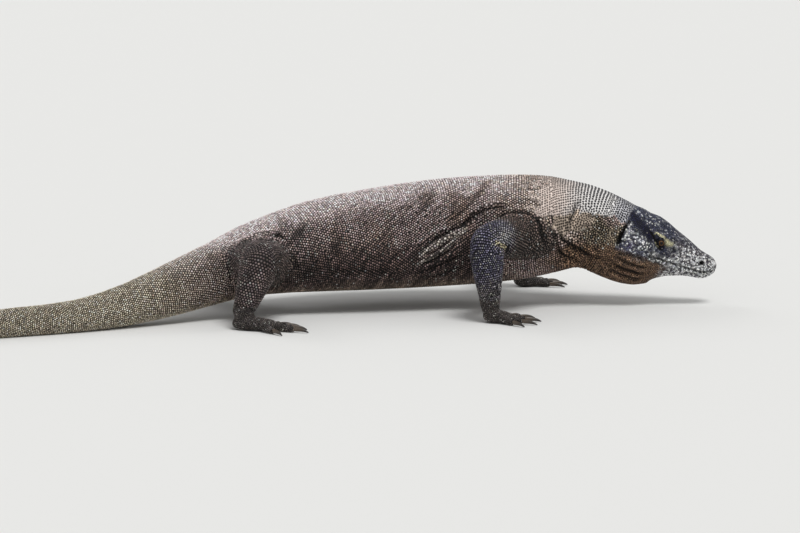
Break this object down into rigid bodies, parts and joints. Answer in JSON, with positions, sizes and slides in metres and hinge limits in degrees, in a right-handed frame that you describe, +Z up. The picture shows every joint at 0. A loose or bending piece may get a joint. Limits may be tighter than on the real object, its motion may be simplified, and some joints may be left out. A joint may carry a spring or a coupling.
{
  "type": "komodo dragon",
  "caption": "Life-size still model of an adult komodo dragon, walking low with its head held near the ground and its tail trailing.",
  "frame": {"origin": "middle of the bounding box, on the floor that the feet and tail rest on", "axes": "+X from the tail towards the snout, +Y to the animal's left, +Z up"},
  "size_m": [2.4258, 0.6904, 0.3018],
  "materials": {
    "skin": "dry beaded scales, slightly satin on their tips",
    "eye": "wet gloss",
    "claw": "worn horn, satin"
  },
  "bodies": {
    "root": {"head": "skin", "lower_jaw": "skin", "neck": "skin", "chest": "skin", "belly": "skin", "pelvis": "skin", "tail_1": "skin", "tail_2": "skin", "tail_3": "skin", "right_upper_arm": "skin", "right_forearm": "skin", "right_forefoot": "skin", "right_thigh": "skin", "right_shank": "skin", "right_hindfoot": "skin", "left_upper_arm": "skin", "left_forearm": "skin", "left_forefoot": "skin", "left_thigh": "skin", "left_shank": "skin", "left_hindfoot": "skin", "right_eye": "eye", "left_eye": "eye", "right_fore_claw_1": "claw", "right_fore_claw_2": "claw", "right_fore_claw_3": "claw", "right_fore_claw_4": "claw", "right_fore_claw_5": "claw", "right_hind_claw_1": "claw", "right_hind_claw_2": "claw", "right_hind_claw_3": "claw", "right_hind_claw_4": "claw", "right_hind_claw_5": "claw", "left_fore_claw_1": "claw", "left_fore_claw_2": "claw", "left_fore_claw_3": "claw", "left_fore_claw_4": "claw", "left_fore_claw_5": "claw", "left_hind_claw_1": "claw", "left_hind_claw_2": "claw", "left_hind_claw_3": "claw", "left_hind_claw_4": "claw", "left_hind_claw_5": "claw"}
  },
  "joints": []
}
